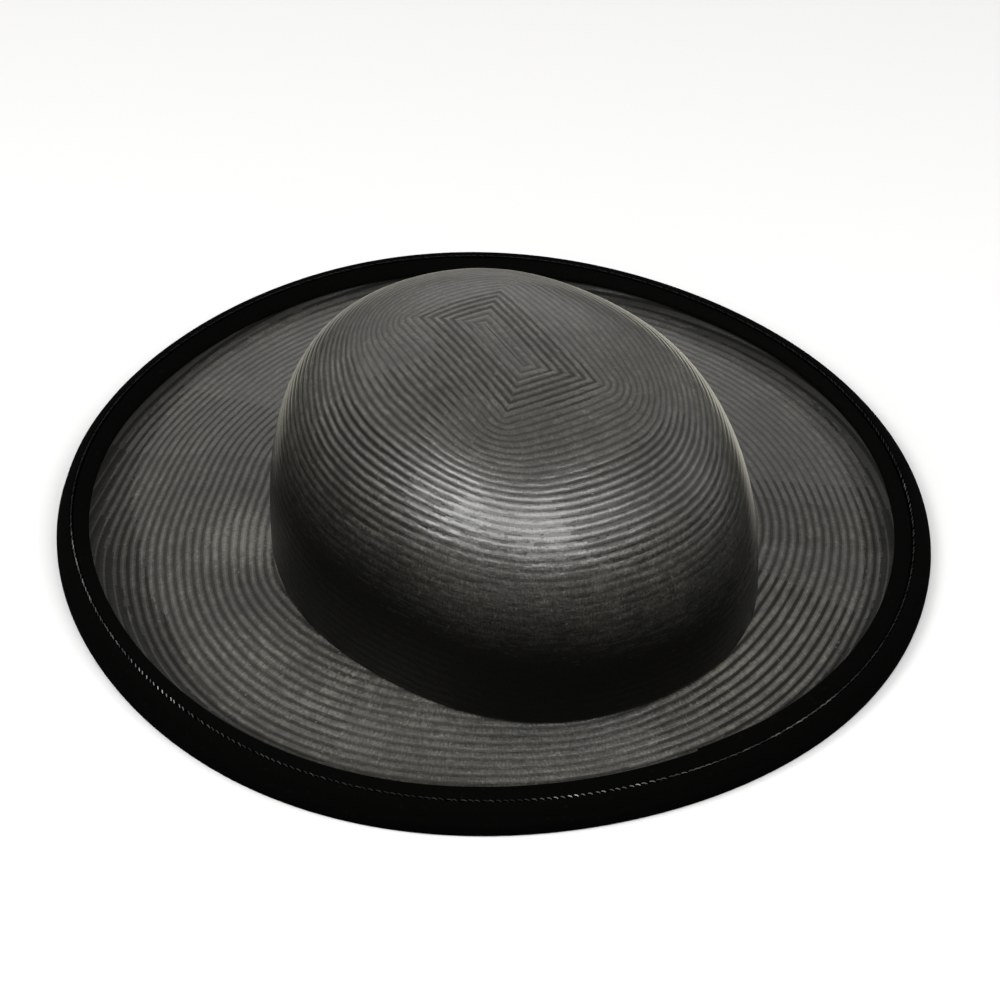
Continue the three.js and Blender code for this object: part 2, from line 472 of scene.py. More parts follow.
def crown_paths():
    """Path lengths from the crown's top down its side, for each direction."""
    angle = np.arange(PATH_COUNT + 1) * TURN / PATH_COUNT
    depth = np.linspace(0, 1, PATH_SAMPLES)
    points = crown_point(angle[:, None], 1 - depth[None, :] ** CROWN_FULLNESS)
    steps = np.linalg.norm(np.diff(points, axis=1), axis=-1)
    start = np.zeros((PATH_COUNT + 1, 1))
    return angle, depth, np.concatenate([start, np.cumsum(steps, axis=1)], axis=1)


PATH_ANGLE, PATH_DEPTH, PATH_LENGTH = crown_paths()


def crown_level(angle, length):
    """Level on the crown at a path length from the top."""
    place = (angle % TURN) / TURN * PATH_COUNT
    index = np.minimum(place.astype(int), PATH_COUNT - 1)
    share = place - index
    depth = np.zeros_like(length)
    for i in range(PATH_COUNT):
        chosen = index == i
        low = np.interp(length[chosen], PATH_LENGTH[i], PATH_DEPTH)
        high = np.interp(length[chosen], PATH_LENGTH[i + 1], PATH_DEPTH)
        depth[chosen] = low + (high - low) * share[chosen]
    return 1 - depth**CROWN_FULLNESS


def crown_normal(points):
    """Outward direction of the smooth crown."""
    level = np.clip((points[..., 2] - CROWN_BASE) / CROWN_HEIGHT, 0, 1)
    x = (points[..., 0] - CROWN_CENTRE[0] - CROWN_LEAN[0] * level) / CROWN_HALF_WIDTH
    y = (points[..., 1] - CROWN_CENTRE[1] - CROWN_LEAN[1] * level) / CROWN_HALF_LENGTH
    girth = np.maximum(np.hypot(x, y), 1e-6)
    pull = CROWN_FULLNESS * girth ** (CROWN_FULLNESS - 2)
    across = pull * x / CROWN_HALF_WIDTH
    along = pull * y / CROWN_HALF_LENGTH
    up = CROWN_SHOULDER * np.maximum(level, 1e-6) ** (CROWN_SHOULDER - 1) / CROWN_HEIGHT
    up = up - (across * CROWN_LEAN[0] + along * CROWN_LEAN[1]) / CROWN_HEIGHT
    return unit(np.stack([across, along, up], -1))


def mitred_ring(angle, distance):
    """Flat place of a row at a distance from the core: sharp mitres at first, then rounded corners."""
    side = np.floor((angle + TURN / 8) / (TURN / 4)).astype(int) % 4
    slant = np.tan((angle + TURN / 8) % (TURN / 4) - TURN / 8)
    size = np.abs(slant)
    core = CORE_HALF_LENGTH / END_STRETCH
    width, length = MITRE_REACH, MITRE_REACH + core
    extra = np.maximum(distance - MITRE_REACH, 0)
    long_side = side % 2 == 0
    offset = np.where(long_side, size * core - length, -width)
    a = 1 + size**2
    b = np.where(long_side, 2 * (size * offset - width), -2 * width * (1 + size))
    c = width**2 + offset**2 - extra**2
    rounded = (-b + np.sqrt(np.maximum(b * b - 4 * a * c, 0))) / (2 * a)
    flat = np.where(long_side, size * (core + distance) <= length, size * distance <= width)
    reach = np.where(flat | (extra <= 0), distance, rounded)
    out = np.where(long_side, reach, core + reach)
    beside = np.where(long_side, slant * (core + reach), slant * reach)
    turn = side * (TURN / 4)
    x = CORE_CENTRE[0] + out * np.cos(turn) - beside * np.sin(turn)
    y = CORE_CENTRE[1] + (out * np.sin(turn) + beside * np.cos(turn)) * END_STRETCH
    return x, y


def crown_place(angle, distance):
    """Point and outward direction on the crown, at a distance from the core of the braid."""
    foot = np.interp(angle % TURN, PATH_ANGLE, PATH_LENGTH[:, -1])
    heading = np.arctan2(CROWN_HALF_LENGTH * np.sin(angle), CROWN_HALF_WIDTH * np.cos(angle))
    oval = foot - (CROWN_REACH - distance)
    x, y = mitred_ring(angle, distance)
    share = smooth(distance, ROUNDING_START, ROUNDING_END)
    x = x + (oval * np.cos(heading) - x) * share
    y = y + (oval * np.sin(heading) - y) * share
    direction = np.arctan2(y / CROWN_HALF_LENGTH, x / CROWN_HALF_WIDTH)
    level = crown_level(direction, np.hypot(x, y))
    points = crown_point(direction, np.clip(level, GAP / CROWN_HEIGHT, 1))
    return points, crown_normal(points)


def crown_limit(angle):
    """Distance from the core where the last row ends; the foot of the crown stops it before that."""
    return np.full_like(angle, CROWN_REACH + CROWN_REACH_SPARE)


# Brim: rows of braid cut off by the velvet edge outside and by the crown inside


def crown_hit(angle):
    """Distance from the hat's middle to the crown's inner wall, in each direction."""
    bulge = np.zeros_like(angle)
    for _ in range(3):
        width = CROWN_HALF_WIDTH + bulge - STRAW_THICKNESS
        length = CROWN_HALF_LENGTH + bulge - STRAW_THICKNESS
        a = (np.cos(angle) / width) ** 2 + (np.sin(angle) / length) ** 2
        b = -2 * (np.cos(angle) * CROWN_CENTRE[0] / width**2 + np.sin(angle) * CROWN_CENTRE[1] / length**2)
        c = (CROWN_CENTRE[0] / width) ** 2 + (CROWN_CENTRE[1] / length) ** 2 - 1
        radius = (-b + np.sqrt(b * b - 4 * a * c)) / (2 * a)
        x = (radius * np.cos(angle) - CROWN_CENTRE[0]) / width
        y = (radius * np.sin(angle) - CROWN_CENTRE[1]) / length
        bulge = wave(CROWN_WAVES, np.arctan2(y, x))
    return radius


def brim_limit(angle):
    """Distance from the first row to the crown's inner wall."""
    return edge_radius(angle) - BRIM_START - crown_hit(angle)


def crease(points):
    """How far the brim is pressed down near its crease."""
    start, end = np.array(CREASE_FROM), np.array(CREASE_TO)
    length = np.linalg.norm(end - start)
    ahead = (end - start) / length
    offset = points[..., :2] - start
    along = offset @ ahead
    beside = offset @ np.array([-ahead[1], ahead[0]])
    fade = 1 - smooth(along, CREASE_FULL_SHARE * length, length)
    return CREASE_DEPTH * fade * np.exp(-np.hypot(beside, 1.0) / CREASE_REACH)


def brim_surface(angle, distance):
    """Point on the straw: it rises under the velvet, dips beside it and climbs to the crown."""
    inset = BRIM_START + distance
    start = velvet_width(angle)
    span = edge_radius(angle) - start - crown_hit(angle)
    from_edge = np.maximum(inset - start, 0)
    reach = from_edge / VALLEY_DISTANCE
    wide = np.clip((span - NARROW_SPAN) / (WIDE_SPAN - NARROW_SPAN), 0, 1)
    valley = VALLEY_DEPTH * wide * reach * np.exp(1 - reach) * (1 - from_edge / span)
    height = STRAW_EDGE_HEIGHT + (CROWN_BASE - STRAW_EDGE_HEIGHT) * from_edge / span - valley
    top = crest(angle) - VELVET_THICKNESS - GAP - STRAW_END_BELOW_CREST
    hidden = np.clip((start - inset) / (start - seam_inset(angle) - STRAW_END_PAST_SEAM), 0, 1)
    height = height + (top - STRAW_EDGE_HEIGHT) * hidden
    points = edge_point(angle, inset, height)
    points[..., 2] -= crease(points)
    return points


def brim_place(angle, distance):
    """Point and upward direction on the brim."""
    turn = NORMAL_STEP / BRIM_RADIUS
    points = brim_surface(angle, distance)
    around = brim_surface(angle + turn, distance) - brim_surface(angle - turn, distance)
    inward = brim_surface(angle, distance + NORMAL_STEP) - brim_surface(angle, distance - NORMAL_STEP)
    return points, unit(np.cross(inward, around) * -1)


# Rows of braid laid in one long spiral over a surface


def around_hat(table, column, angle):
    """A column of a table by degrees around the hat, with its corners rounded off."""
    rows = np.array(table)
    degrees = np.arange(-TABLE_SPARE, 361 + TABLE_SPARE)
    values = np.interp(degrees % 360, rows[:, 0], rows[:, column])
    near = np.arange(-3 * TABLE_ROUNDING, 3 * TABLE_ROUNDING + 1)
    weights = np.exp(-0.5 * (near / TABLE_ROUNDING) ** 2)
    return np.interp(angle, degrees, np.convolve(values, weights / weights.sum(), mode="same"))


def part_angle(points, centre=(0, 0)):
    """Degrees around a centre, from +X towards +Y."""
    return np.degrees(np.arctan2(points[..., 1] - centre[1], points[..., 0] - centre[0])) % 360


def crown_pressing(points, distance):
    """How full the crown's rows stand, and their painted light and shade: lighter or darker by side, and
    darker and duller towards the foot.
    """
    angle, height = part_angle(points, CROWN_CENTRE), points[..., 2]
    side, full, light, lift = (around_hat(CROWN_DEPTHS_AND_PAINTED_LIGHT, column, angle) for column in (1, 2, 3, 4))
    down = FLAT_ROW_SHARE + (1 - FLAT_ROW_SHARE) * smooth(height, FLAT_ROWS_BELOW, full)
    top = 1 - (1 - TOP_ROW_SHARE) * smooth(height, FLAT_ROWS_ABOVE, FLAT_ROWS_ABOVE + TOP_ROW_FADE)
    core = CORE_ROW_SHARE + (1 - CORE_ROW_SHARE) * smooth(distance, 0, CORE_ROW_FADE)
    side = side + (1 - side) * smooth(EVEN_ROWS_WITHIN - distance, 0, EVEN_ROWS_FADE)
    # Painted shade: the straw grows darker and duller towards the crown's foot
    shade_gloss = smooth(height, SHADE_DARKEST_BELOW + lift, SHADE_GONE_ABOVE + lift)
    # Painted light and shade: each side's lightness, and a set lightness near the top
    near_top = smooth(height, FLAT_ROWS_ABOVE - TOP_LIGHTNESS_BELOW, FLAT_ROWS_ABOVE + TOP_LIGHTNESS_PAST)
    light = light + (TOP_LIGHTNESS - light) * near_top
    return down * top * core * side, light * shade_gloss, shade_gloss


def brim_pressing(points, distance):
    """How full the brim's rows stand, and their painted light and shade: painted shade beside the velvet,
    painted light and shade near the crown, and a painted highlight and shadow by the crown's foot.
    """
    angle = part_angle(points)
    turn = np.radians(angle)
    inset = edge_radius(turn) - np.hypot(points[..., 0], points[..., 1]) - velvet_width(turn)
    # Painted shade beside the velvet roll: darker colour and a duller finish
    shade = smooth(inset, 0, around_hat(RIM_SHADES, 1, angle))
    # Painted light and shade on the brim near the crown
    painted_light = around_hat(BRIM_DEPTHS_AND_PAINTED_LIGHT, 2, angle) * smooth(inset, PAINTED_LIGHT_START, PAINTED_LIGHT_FULL)
    tones = RIM_SHADE_TONE + (1 - RIM_SHADE_TONE) * shade + painted_light
    # Painted highlight and painted shadow beside the crown's foot
    for x, y, reach, gain in BRIM_HIGHLIGHT_AND_SHADOW:
        tones = tones + gain * np.exp(-(np.hypot(points[..., 0] - x, points[..., 1] - y) / reach) ** 2)
    return around_hat(BRIM_DEPTHS_AND_PAINTED_LIGHT, 1, angle), np.maximum(tones, 0), 1 - RIM_SHADE_DULLNESS * (1 - shade)


def crown_lay(rings, turn):
    """Distance of each row from the core, in one long spiral."""
    rows = rings + turn
    return CROWN_PITCH * rows + CROWN_PITCH_GROWTH * rows**2 / 2


def brim_lay(rings, turn):
    """Distance of each row from the brim's edge; the spiral steps inward behind the crown."""
    angle = turn * 360
    rows = rings + smooth(angle, BRIM_TURN_START, BRIM_TURN_END)
    return rows * BRIM_PITCH * around_hat(BRIM_ROWS, 1, angle) + around_hat(BRIM_ROWS, 2, angle)


def streaked(seed, shape):
    """Seeded values spread evenly from 0 to 1, in short streaks along the rows."""
    noise = np.random.default_rng(seed).uniform(0, 1, shape)
    noise = sum(np.roll(noise, shift, axis=1) for shift in range(STREAK_COLUMNS))
    return noise.ravel().argsort().argsort().reshape(shape) / noise.size


def braid_piece(name, place, lay, pressing, limit, first_row, last_row, columns, seed, mingling, materials):
    """Rows of braid over a surface, with duller faces in the grooves and where shade is painted."""
    steps = len(ROW_STEPS)
    rings = np.array([row + step for row in range(first_row, last_row + 1) for step in ROW_STEPS])
    relief = np.tile(ROW_RELIEF, last_row + 1 - first_row)
    turn = np.arange(columns) / columns
    angle = np.broadcast_to(turn * TURN, (len(rings), columns))
    spiral = lay(rings[:, None], turn[None, :])
    winding = np.floor(rings)[:, None] + turn[None, :]
    uneven = SHARED_WANDER * ripple(seed, angle, spiral, RIPPLES)
    uneven = uneven + OWN_WANDER * ripple(seed + 1, angle, winding * OWN_WANDER_CHANGE, RIPPLES)
    end = limit(angle)
    distance = np.clip(spiral + uneven * smooth(spiral, 0, WANDER_START), 0, end)
    points, normals = place(angle, distance)
    fullness, tones, shade_gloss = pressing(points, distance)
    varied = HEIGHT_VARIETY * ripple(seed + 2, angle, winding * HEIGHT_VARIETY_CHANGE, RIPPLES)
    lift = (1 + varied) * fullness
    height = ROW_HEIGHT * relief[:, None] * lift - ROW_SETBACK
    points = points + normals * height[..., None]
    mids = points[steps // 2 :: steps]
    lengths = np.linalg.norm(np.diff(mids, axis=1), axis=-1).sum(axis=1)
    lengths = np.round(lengths / PLAIT_LENGTH) * PLAIT_LENGTH
    faces, uvs, choice = [], [], []
    clipped = (distance <= 0) | (distance >= end)
    dither = 0.5 + mingling * (streaked(seed, tones.shape) - 0.5)
    # Painted shade as duller finishes: where shade is painted, and in the grooves
    groove = np.tile(ROW_GROOVE_SHADE, last_row + 1 - first_row)[:, None] * fullness
    dullest = len(materials) - 1
    dullness = np.floor((1 - shade_gloss) * dullest + dither) + np.round(groove * dullest)
    dullness = np.minimum(dullness, dullest).astype(int)
    for m in range(len(rings) - steps - 1):
        row = m // steps
        for j in range(columns):
            after, shift = (j + 1, 0) if j + 1 < columns else (0, steps)
            corners = ((m, j), (m + shift, after), (m + 1 + shift, after), (m + 1, j))
            if all(clipped[corner] for corner in corners):
                continue
            faces.append([ring * columns + column for ring, column in corners])
            choice.append(int(dullness[m, j]))
            u = (j / columns * lengths[row], (j + 1) / columns * lengths[row])
            v = (rings[m], rings[m + 1])
            uvs += [(u[0], v[0]), (u[1], v[0]), (u[1], v[1]), (u[0], v[1])]
    values = {"tone": tones, "depth": np.broadcast_to(fullness, tones.shape)}
    return mesh_piece(name, points.reshape(-1, 3), faces, materials, uvs, values, choice)


# Bands that run around the hat, from a closed section


def through_points(section, samples):
    """Smooth closed curve through the points of a section: (points, around, 3)."""
    count = len(section)
    places = []
    for k in range(samples):
        t = k / samples * count
        i = int(t)
        f = t - i
        p0, p1, p2, p3 = (section[(i + o) % count] for o in (-1, 0, 1, 2))
        places.append(0.5 * (2 * p1 + (p2 - p0) * f + (2 * p0 - 5 * p1 + 4 * p2 - p3) * f**2
                             + (3 * p1 - p0 - 3 * p2 + p3) * f**3))
    return np.array(places)


def band_piece(name, section, material, closed=True):
    """Section points (across, around, 3) joined into a band; an open band is capped at both ends."""
    across, around = section.shape[:2]
    along = np.concatenate([[0], np.cumsum(np.linalg.norm(np.diff(section[0], axis=0), axis=-1))])
    along = np.append(along, along[-1] + np.linalg.norm(section[0, -1] - section[0, 0]))
    girth = np.concatenate([[0], np.cumsum(np.linalg.norm(np.diff(section[:, 0], axis=0), axis=-1))])
    girth = np.append(girth, girth[-1] + np.linalg.norm(section[-1, 0] - section[0, 0]))
    faces, uvs = [], []
    for i in range(across):
        for j in range(around if closed else around - 1):
            i2, j2 = (i + 1) % across, (j + 1) % around
            faces.append([i * around + j, i * around + j2, i2 * around + j2, i2 * around + j])
            u, v = (along[j], along[j + 1]), (girth[i], girth[i + 1])
            uvs += [(u[0], v[0]), (u[1], v[0]), (u[1], v[1]), (u[0], v[1])]
    if not closed:
        for j in (0, around - 1):
            loop = [i * around + j for i in range(across)]
            faces.append(loop if j == 0 else loop[::-1])
            uvs += [(along[j], girth[i]) for i in range(across)]
    return mesh_piece(name, section.reshape(-1, 3), faces, [material], uvs)


def hidden_straw(angle, share, rise):
    """Point above or below the straw under the velvet, from its visible edge (0) to its end (1)."""
    start, end = velvet_width(angle), seam_inset(angle) + STRAW_END_PAST_SEAM
    top = crest(angle) - VELVET_THICKNESS - GAP - STRAW_END_BELOW_CREST
    height = STRAW_EDGE_HEIGHT + (top - STRAW_EDGE_HEIGHT) * share
    return edge_point(angle, start + (end - start) * share, height + rise)


def edge_roll(material):
    angle = np.arange(ROLL_COLUMNS) * TURN / ROLL_COLUMNS
    rows = [
        edge_point(angle, seam * seam_inset(angle) + inset, height * crest(angle) + rise)
        for seam, inset, height, rise in ROLL_SECTION
    ]
    lip = STRAW_EDGE_HEIGHT - STRAW_THICKNESS
    rows.append(edge_point(angle, velvet_width(angle) - LIP_TAPER, lip - 2 * LIP_THICKNESS))
    rows.append(edge_point(angle, velvet_width(angle), lip - LIP_THICKNESS))
    rows.append(hidden_straw(angle, 0, -STRAW_THICKNESS - GAP))
    rows.append(hidden_straw(angle, 1, -STRAW_THICKNESS - GAP))
    section = through_points(rows, ROLL_SAMPLES)
    section[..., 2] = np.maximum(section[..., 2], 0.0)
    return band_piece("velvet_roll", section, material)


def edge_binding(material):
    start = math.radians(JOIN_ANGLE)
    angle = np.linspace(start, start + TURN + math.radians(JOIN_OVERLAP), BINDING_COLUMNS)
    after = np.degrees(angle - start)
    wider = JOIN_EXTRA_WIDTH * (1 - smooth(after, JOIN_WIDE_UNTIL, JOIN_NARROW_FROM))
    lift = JOIN_LIFT * (1 - smooth(after, JOIN_OVERLAP, JOIN_OVERLAP + JOIN_LIFT_FADE))
    inward = np.stack([-np.cos(angle), -np.sin(angle), np.zeros_like(angle)], -1)
    rows = []
    for share, rise in BINDING_SECTION:
        points = hidden_straw(angle, share, GAP + rise + lift)
        rows.append(points + inward * (wider * (1 - share))[:, None])
    section = through_points(rows, BINDING_SAMPLES)
    return band_piece("velvet_binding", section, material, closed=False)


def headband(material):
    start = TURN / 4
    angle = np.linspace(start, start + TURN + math.radians(RIBBON_OVERLAP), RIBBON_COLUMNS)
    after = np.degrees(angle - start)
    lift = RIBBON_END_LIFT * smooth(after, RIBBON_LIFT_FROM, RIBBON_LIFT_UNTIL)
    rows = []
    heights = np.linspace(0, 1, RIBBON_ROWS)
    for face, shares in ((0.0, heights), (RIBBON_THICKNESS, heights[::-1])):
        for share in shares:
            height = -RIBBON_BELOW_FOOT + (HEADBAND_HEIGHT + RIBBON_BELOW_FOOT) * share
            slack = RIBBON_SLACK * share * (1 + ripple(SEED + 9, angle, 0.0, RIBBON_SLACK_RIPPLES))
            inset = HEADBAND_CLEARANCE + face + lift + slack
            points = crown_point(angle, np.full_like(angle, max(height, 0) / CROWN_HEIGHT), inset)
            points[:, 2] = CROWN_BASE + height
            rows.append(points)
    return band_piece("ribbon_headband", np.array(rows), material, closed=False)


# Stitches: many small threads joined in one mesh


def stitches(name, centres, along, outward, length, radius, tones, material):
    """One short thread at each centre, humped outward, with tapered ends."""
    sides, rings = THREAD_SIDES, STITCH_RINGS
    beside = unit(np.cross(outward, along))
    points, faces = [], []
    for n in range(len(centres)):
        base = len(points)
        for place, girth, hump in rings:
            middle = centres[n] + along[n] * place * length[n] + outward[n] * hump * radius
            for k in range(sides):
                turn = k * TURN / sides
                spoke = beside[n] * math.cos(turn) + outward[n] * math.sin(turn)
                points.append(middle + radius * girth * spoke)
        for r in range(len(rings) - 1):
            for k in range(sides):
                k2 = (k + 1) % sides
                a, b = base + r * sides, base + (r + 1) * sides
                faces.append([a + k, a + k2, b + k2, b + k])
        faces.append([base + k for k in range(sides)][::-1])
        faces.append([base + (len(rings) - 1) * sides + k for k in range(sides)])
    values = {"tone": np.repeat(tones, sides * len(rings))}
    return mesh_piece(name, np.array(points), faces, [material], values=values)


def seam_stitches(material):
    count = int(TURN * (BRIM_RADIUS - STITCH_LINE_INSET) / STITCH_SPACING)
    rng = np.random.default_rng(SEED + 3)
    shifted = rng.uniform(-STITCH_SPACING_VARIETY, STITCH_SPACING_VARIETY, count)
    angle = (np.arange(count) + shifted) * TURN / count
    centres = edge_point(angle, seam_inset(angle) + STITCH_PAST_SEAM, crest(angle) - STITCH_SINK)
    ahead = np.stack([-np.sin(angle), np.cos(angle), np.zeros(count)], -1)
    out = np.stack([np.cos(angle), np.sin(angle), np.zeros(count)], -1)
    table = np.array(THREAD_SHOWS)
    light, length = (np.interp(np.degrees(angle) % 360, table[:, 0], table[:, column]) for column in (1, 2))
    slant = rng.normal(STITCH_SLANT, STITCH_SLANT_VARIETY, count)
    slant = slant + SHORT_STITCH_SLANT * smooth(-length, -LONG_STITCH, -SHORT_STITCH)
    along = unit(ahead + out * slant[:, None])
    up = unit(np.stack([np.zeros(count), np.zeros(count), np.ones(count)], -1) - STITCH_TILT * out)
    tones = light * rng.uniform(THREAD_DARKEST, THREAD_LIGHTEST, count) ** THREAD_CONTRAST
    return stitches("seam_stitches", centres, along, up, length, STITCH_RADIUS, tones, material)


# Materials


class Nodes:
    """Short names for building a material's nodes."""

    def __init__(self, name):
        self.material = bpy.data.materials.new(name)
        self.material.use_nodes = True
        self.tree = self.material.node_tree
        self.shader = self.tree.nodes["Principled BSDF"]

    def put(self, socket, value):
        if isinstance(value, bpy.types.NodeSocket):
            self.tree.links.new(value, socket)
        else:
            socket.default_value = value

    def add(self, kind, inputs=(), **settings):
        node = self.tree.nodes.new(kind)
        for key, value in settings.items():
            setattr(node, key, value)
        for key, value in dict(inputs).items():
            self.put(node.inputs[key], value)
        return node

    def math(self, operation, *values):
        node = self.add("ShaderNodeMath", operation=operation)
        for index, value in enumerate(values):
            self.put(node.inputs[index], value)
        return node.outputs[0]

    def ramp(self, value, low, high, start=0.0, end=1.0):
        limits = {"From Min": low, "From Max": high, "To Min": start, "To Max": end}
        node = self.add("ShaderNodeMapRange", {"Value": value, **limits}, interpolation_type="SMOOTHSTEP")
        return node.outputs["Result"]

    def mix(self, factor, first, second):
        node = self.add("ShaderNodeMix", data_type="RGBA")
        self.put(node.inputs["Factor"], factor)
        self.put(node.inputs["A"], first)
        self.put(node.inputs["B"], second)
        return node.outputs["Result"]

    def noise(self, scale, detail=2.0, vector=None, roughness=0.5):
        node = self.add("ShaderNodeTexNoise", {"Scale": scale, "Detail": detail, "Roughness": roughness})
        if vector is not None:
            self.put(node.inputs["Vector"], vector)
        return node.outputs["Fac"]

    def places(self):
        return self.add("ShaderNodeTexCoord").outputs["Object"]

    def braid(self):
        """Millimetres along a row or band, and rows or millimetres across it."""
        uv = self.add("ShaderNodeUVMap", uv_map="braid").outputs[0]
        split = self.add("ShaderNodeSeparateXYZ", {"Vector": uv})
        return split.outputs["X"], split.outputs["Y"]

    def stretched(self, u, v, stretch):
        """Place in the braid's own directions, stretched along and across."""
        along, across = self.math("MULTIPLY", u, stretch[0]), self.math("MULTIPLY", v, stretch[1])
        return self.add("ShaderNodeCombineXYZ", {"X": along, "Y": across}).outputs[0]

    def bump(self, height, strength, distance):
        node = self.add("ShaderNodeBump", {"Height": height, "Strength": strength, "Distance": distance})
        return node.outputs["Normal"]

    def finish(self, **inputs):
        for key, value in inputs.items():
            self.put(self.shader.inputs[key.replace("_", " ")], value)
        return self.material


def grey(level, warmth=0.0):
    return (level * (1 + warmth), level, level * (1 - warmth), 1.0)


def olive(level):
    return (level, level * 0.97, level * 0.8, 1.0)


def straw_material(name, specular, fuzz):
    """Plaited straw: light speckled strands on each row; the grooves between the rows are darker, partly
    their own dull overlap and partly painted shade.
    """
    n = Nodes(name)
    u, v = n.braid()
    tone = n.add("ShaderNodeAttribute", attribute_name="tone").outputs["Fac"]
    depth = n.add("ShaderNodeAttribute", attribute_name="depth").outputs["Fac"]
    plait = n.math("DIVIDE", u, PLAIT_LENGTH)
    # Darker grooves: the rows' own dull overlap and painted shade
    ridge = n.ramp(n.math("PINGPONG", v, 0.5), 0.04, 0.46)
    ridge = n.math("ADD", n.math("MULTIPLY", n.math("SUBTRACT", ridge, 0.5), depth), 0.5)
    rising = n.math("PINGPONG", n.math("ADD", plait, v), 0.5)
    falling = n.math("PINGPONG", n.math("SUBTRACT", plait, v), 0.5)
    strands = n.ramp(n.math("MAXIMUM", rising, falling), 0.15, 0.5)
    ticks = n.noise(1.0, 2.0, n.stretched(u, v, TICK_STRETCH), 0.6)
    streaks = n.noise(1.0, 3.0, n.stretched(u, v, STREAK_STRETCH), 0.6)
    grain = n.noise(GRAIN_SCALE, 2.0, n.places())
    patches = n.noise(PATCH_SCALE, 3.0, n.places())
    level = n.math("MULTIPLY", ridge, n.ramp(strands, *STRANDS))
    for pattern, limits in ((ticks, TICKS), (streaks, STREAKS), (patches, PATCHES), (grain, GRAIN)):
        level = n.math("MULTIPLY", level, n.ramp(pattern, *limits))
    level = n.math("ADD", n.math("MULTIPLY", level, 1 - GROOVE_SHARE), GROOVE_SHARE)
    level = n.math("MULTIPLY", level, tone)
    colour = n.mix(n.math("MULTIPLY", level, 0.5), olive(DARKEST), olive(2 * PALEST))
    fleck = n.ramp(n.noise(FLECK_SCALE, 1.0, n.places()), *FLECKS)
    colour = n.mix(n.math("MULTIPLY", fleck, tone), colour, olive(2.5 * PALEST))
    # Painted sheen: lighter colour where the surface turns edge-on
    facing = n.add("ShaderNodeLayerWeight", {"Blend": 0.5}).outputs["Facing"]
    colour = n.mix(n.math("MULTIPLY", n.ramp(facing, *PAINTED_GLOW_FACING), tone), colour, olive(PAINTED_EDGE_GLOW))
    height = n.math("ADD", n.math("MULTIPLY", strands, 0.1), n.math("MULTIPLY", grain, 0.35))
    fibres = n.math("ADD", n.math("MULTIPLY", streaks, 1.6), n.math("MULTIPLY", ticks, 0.5))
    height = n.math("ADD", height, fibres)
    n.shader.inputs["Specular IOR Level"].default_value = specular
    n.shader.inputs["Sheen Weight"].default_value = fuzz
    n.shader.inputs["Sheen Roughness"].default_value = SHEEN_ROUGHNESS
    n.shader.inputs["Sheen Tint"].default_value = SHEEN_TINT
    rough = n.math("ADD", STRAW_ROUGHNESS - 0.1, n.math("MULTIPLY", ticks, 0.2))
    return n.finish(Base_Color=colour, Roughness=rough, Normal=n.bump(height, *STRAW_BUMP))


def velvet_material():
    """Black velvet, brushed one way and the other, with a little dust."""
    n = Nodes("velvet")
    pile = n.noise(PILE_SCALE, 2.0, n.places())
    brushed = n.noise(BRUSHED_SCALE, 3.0, n.places())
    dust = n.ramp(n.noise(DUST_SCALE, 2.0, n.places()), *DUST)
    colour = n.mix(n.math("MULTIPLY", dust, DUST_SHARE), VELVET_BLACK, VELVET_DUST)
    height = n.math("ADD", n.math("MULTIPLY", pile, 0.5), brushed)
    n.shader.inputs["Sheen Weight"].default_value = VELVET_SHEEN
    n.shader.inputs["Sheen Roughness"].default_value = VELVET_SHEEN_ROUGHNESS
    n.shader.inputs["Sheen Tint"].default_value = VELVET_SHEEN_TINT
    n.shader.inputs["Specular IOR Level"].default_value = VELVET_SPECULAR
    n.shader.inputs["Roughness"].default_value = VELVET_ROUGHNESS
    return n.finish(Base_Color=colour, Normal=n.bump(height, *VELVET_BUMP))


def ribbon_material():
    """Ribbed black ribbon."""
    n = Nodes("ribbon")
    u, _ = n.braid()
    ribs = n.math("PINGPONG", n.math("DIVIDE", u, RIB_SPACING), 0.5)
    grain = n.noise(RIBBON_GRAIN_SCALE, 2.0, n.places())
    colour = n.mix(n.ramp(ribs, 0.05, 0.4), grey(RIBBON_GROOVE), grey(RIBBON_RIB, 0.02))
    height = n.math("ADD", ribs, n.math("MULTIPLY", grain, 0.3))
    n.shader.inputs["Roughness"].default_value = RIBBON_ROUGHNESS
    return n.finish(Base_Color=colour, Normal=n.bump(height, *RIBBON_BUMP))


def thread_material():
    """Grey thread, sunk in the velvet where its tone is low."""
    n = Nodes("thread")
    tone = n.add("ShaderNodeAttribute", attribute_name="tone").outputs["Fac"]
    twist = n.noise(TWIST_SCALE, 2.0, n.places())
    level = n.math("MULTIPLY", tone, n.math("ADD", 0.6, twist))
    colour = n.mix(level, grey(THREAD_SUNK), grey(THREAD_BARE, 0.04))
    n.shader.inputs["Roughness"].default_value = THREAD_ROUGHNESS
    n.shader.inputs["Specular IOR Level"].default_value = THREAD_SPECULAR
    return n.finish(Base_Color=colour, Normal=n.bump(twist, *THREAD_BUMP))


def floor_material():
    n = Nodes("floor")
    n.shader.inputs["Roughness"].default_value = 0.9
    n.shader.inputs["Specular IOR Level"].default_value = 0.1
    return n.finish(Base_Color=FLOOR_COLOUR)


# Studio


def direction(azimuth, elevation):
    """Direction from the hat; azimuth 0 is its front, -Y."""
    azimuth, elevation = math.radians(azimuth), math.radians(elevation)
    return Vector((math.sin(azimuth) * math.cos(elevation), -math.cos(azimuth) * math.cos(elevation),
                   math.sin(elevation)))


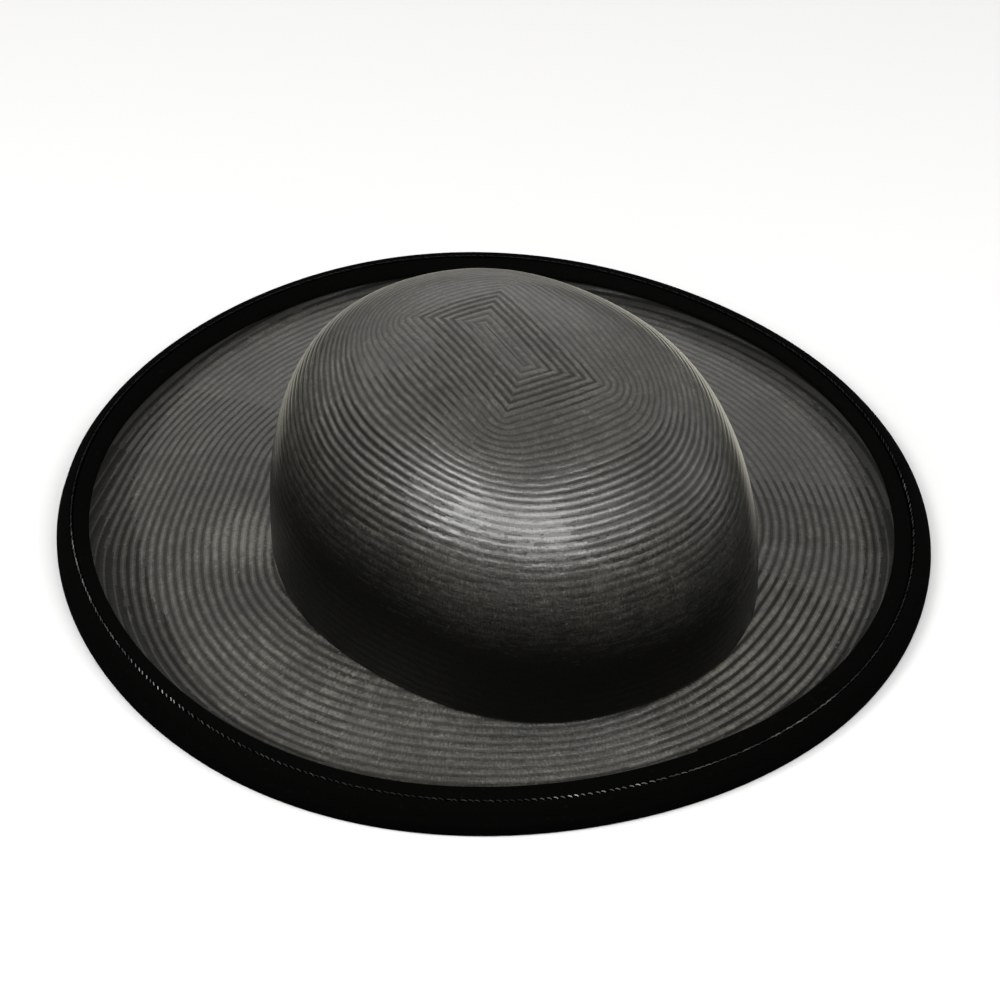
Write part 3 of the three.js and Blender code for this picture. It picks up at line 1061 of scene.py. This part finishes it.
def make_camera():
    back = direction(CAMERA_AZIMUTH, CAMERA_ELEVATION)
    data = bpy.data.cameras.new("camera")
    data.lens = CAMERA_LENS
    data.sensor_width = SENSOR_WIDTH
    data.clip_end = 50.0
    camera = bpy.data.objects.new("camera", data)
    camera.location = Vector(CAMERA_AIM) * MM + back * CAMERA_DISTANCE * MM
    camera.rotation_euler = back.to_track_quat("Z", "Y").to_euler()
    bpy.context.scene.collection.objects.link(camera)
    bpy.context.scene.camera = camera


def soft_light(name, azimuth, elevation, distance, size, power):
    """Round area light aimed at the hat."""
    back = direction(azimuth, elevation)
    data = bpy.data.lights.new(name, "AREA")
    data.shape = "DISK"
    data.size = size
    data.energy = power
    lamp = bpy.data.objects.new(name, data)
    lamp.location = back * distance + Vector((0, 0, LIGHTS_AIM_HEIGHT))
    lamp.rotation_euler = back.to_track_quat("Z", "Y").to_euler()
    bpy.context.scene.collection.objects.link(lamp)


def make_world():
    """Pale sky all around that darkens below the horizon."""
    world = bpy.data.worlds.new("studio")
    world.use_nodes = True
    background = world.node_tree.nodes["Background"]
    background.inputs["Strength"].default_value = WORLD_STRENGTH
    tree = world.node_tree
    places = tree.nodes.new("ShaderNodeTexCoord")
    split = tree.nodes.new("ShaderNodeSeparateXYZ")
    fall = tree.nodes.new("ShaderNodeMapRange")
    colour = tree.nodes.new("ShaderNodeMix")
    fall.inputs["From Min"].default_value = HORIZON_START
    fall.inputs["From Max"].default_value = HORIZON_END
    colour.data_type = "RGBA"
    colour.inputs["A"].default_value = WORLD_GROUND
    colour.inputs["B"].default_value = WORLD_SKY
    tree.links.new(places.outputs["Generated"], split.inputs[0])
    tree.links.new(split.outputs["Z"], fall.inputs["Value"])
    tree.links.new(fall.outputs[0], colour.inputs["Factor"])
    tree.links.new(colour.outputs["Result"], background.inputs["Color"])
    bpy.context.scene.world = world
    bpy.context.scene.view_settings.view_transform = "Standard"


def make_floor():
    half = FLOOR_HALF_SIZE
    mesh = bpy.data.meshes.new("floor")
    corners = [(-half, -half, 0), (half, -half, 0), (half, half, 0), (-half, half, 0)]
    mesh.from_pydata(corners, [], [(0, 1, 2, 3)])
    mesh.materials.append(floor_material())
    floor = bpy.data.objects.new("floor", mesh)
    bpy.context.scene.collection.objects.link(floor)
    floor.visible_glossy = False


make_camera()
make_world()
for light in LIGHTS:
    soft_light(*light)
make_floor()

# Straw copies from glossy to dull; the duller ones carry painted shade
straws = [straw_material(f"straw_{step}", *finish) for step, finish in enumerate(STRAW_FINISHES)]
velvet = velvet_material()
ribbon = ribbon_material()
thread = thread_material()

crown = braid_piece("braid_crown", crown_place, crown_lay, crown_pressing, crown_limit, CROWN_FIRST_ROW,
                    CROWN_LAST_ROW, CROWN_COLUMNS, SEED, CROWN_MINGLING, straws)
brim = braid_piece("braid_brim", brim_place, brim_lay, brim_pressing, brim_limit, BRIM_FIRST_ROW,
                   BRIM_LAST_ROW, BRIM_COLUMNS, SEED + 20, BRIM_MINGLING, straws)
roll = edge_roll(velvet)
binding = edge_binding(velvet)
band = headband(ribbon)
seam = seam_stitches(thread)

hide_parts("crown")
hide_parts("brim")
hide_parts("edge_roll")
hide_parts("edge_binding")
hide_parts("headband")
